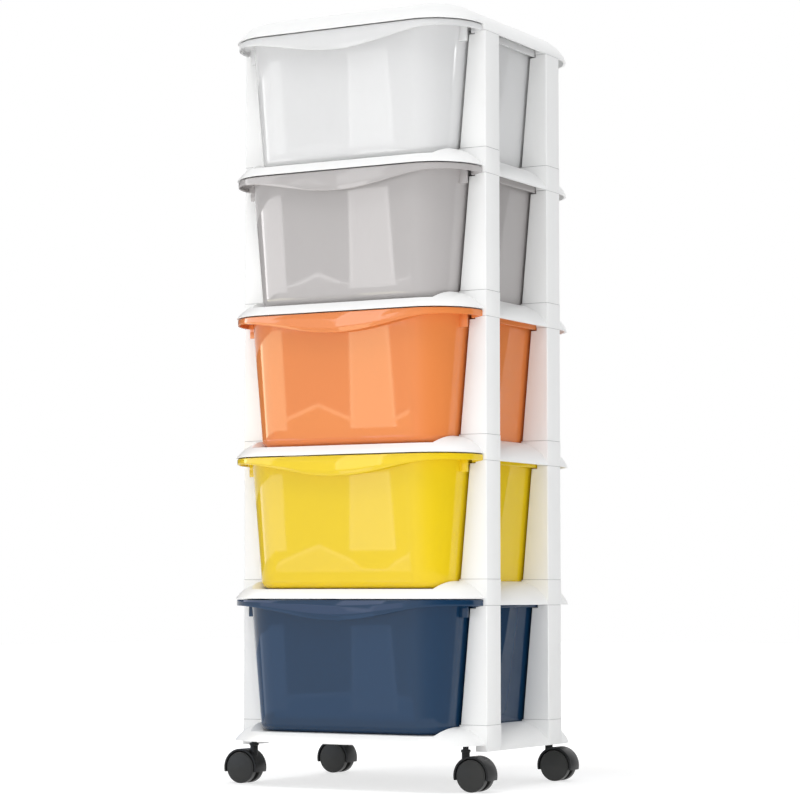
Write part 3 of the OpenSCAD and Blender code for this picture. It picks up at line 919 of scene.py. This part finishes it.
# left and right at the top, left and right at the bottom, share of the light, distance in front of the plane
CARD_BANDS = [
    (-316, -281, -316, -284, 1.0, 0),
    (-168, -109, -178, -108, 0.9, 0),
    (-170, -165, -180, -175, 1.25, 1),
    (-112, -107, -111, -106, 1.25, 1),
    (-73, -69, -75, -71, 0.3, 0),
]
# a thin reflected line about its peak at height 0, under which it is a little lighter
LINE_HALF = 2.8
ZIGZAG = [(-316, -34), (-287, -20), (-229, 0), (-178, -21), (-160, -37), (-125, -40), (-108, -24), (-74, -10)]
WAVE = [(-327, -8), (-263, -1), (-181, 4), (-102, 0), (-25, -5)]
# bottom and top of the bands, gain, tint, peak of the line, its shape, its share and the share below it
CARD_TIERS = {
    "navy": (28, 150, 0.4, (0.85, 0.95, 1.15), 50, WAVE, 0.9, 0.5),
    "yellow": (252, 361, 1.2, (1.0, 1.0, 1.2), 259, ZIGZAG, 0.9, 0.4),
    "orange": (412, 565, 3.0, (1.0, 0.95, 0.7), 457, ZIGZAG, 0.9, 0.16),
    "grey": (602, 757, 3.6, (1.0, 0.98, 0.98), 642, ZIGZAG, 0.9, 0.18),
    "clear": (800, 951, 1.8, (1.0, 1.0, 1.0), 824, ZIGZAG, 0.9, 0.2),
}
# what a drawer's left front corner reflects: direction in degrees and share of the light
LEFT_SPANS = [(-119, 1), (-159, 1), (-160, 1.8), (-170, 1.8), (-171, 0), (-174, -1), (-240, -1)]
# what its right front corner reflects: direction in degrees and light
RIGHT_SPANS = [(-99, 1.0), (-85, 0.7), (-65, 0.32), (-40, 0.12), (26, 0.06)]
for tone, (low, high, gain, tint, peak, shape, share, below) in CARD_TIERS.items():
    for k, (left_top, right_top, left_low, right_low, part, near) in enumerate(CARD_BANDS):
        y = CARD_Y + near
        strip("card_%s_band_%d" % (tone, k), [(left_low, y, low), (right_low, y, low)],
              [(left_top, y, high), (right_top, y, high)], [1 + gain * part] * 2, tint)
    foot = low - 40
    line = [(x, max(foot + 4, peak + z)) for x, z in shape]
    thin = [[(x, CARD_Y + 2, z + side) for x, z in line] for side in (-LINE_HALF, LINE_HALF)]
    strip("card_%s_line" % tone, *thin, [1 + gain * share] * len(line), tint)
    area = [[(x, CARD_Y - 1, foot) for x, z in line], [(x, CARD_Y - 1, z) for x, z in line]]
    strip("card_%s_low" % tone, *area, [1 + gain * below] * len(line), tint)
    spans = [(angle, max(0.2, 1 + gain * part)) for angle, part in LEFT_SPANS]
    corner_card("card_%s_left" % tone, -1, spans, low, high, tint)
corner_card("card_right", 1, RIGHT_SPANS, 205, 1400)
corner_card("card_right_low", 1, [(angle, 0.55 + 0.45 * light) for angle, light in RIGHT_SPANS], -15, 205)
# a dark card behind, seen in the drawers' sides
rear = [[(x, 520.0, z) for x in (395, 490)] for z in (-10, 1300)]
strip("card_rear", *rear, [0.1, 0.1])
# a short sharp light high up on the right corner of the clear drawer
CARD_STREAK = [((24, 31), 912), ((12, 31), 958)]
STREAK_LIGHT = 9
streak = []
for angles, z in CARD_STREAK:
    around = [(CARD_R - 6) * np.array((math.cos(a), math.sin(a))) + CARD_CORNER for a in np.radians(angles)]
    streak.append([(x, y, z) for x, y in around])
strip("card_streak", *streak, [STREAK_LIGHT] * 2)

# the camera stands where the photograph was taken from
data = bpy.data.cameras.new("camera")
data.lens = 119.61
data.sensor_width = 36
data.clip_end = 50
camera = bpy.data.objects.new("camera", data)
camera.location = (1.6952, -3.0269, 0.2425)
camera.rotation_euler = (math.radians(90 + 4.171), 0, math.radians(29.307))
bpy.context.scene.collection.objects.link(camera)
bpy.context.scene.camera = camera
bpy.context.scene.view_settings.view_transform = "Standard"
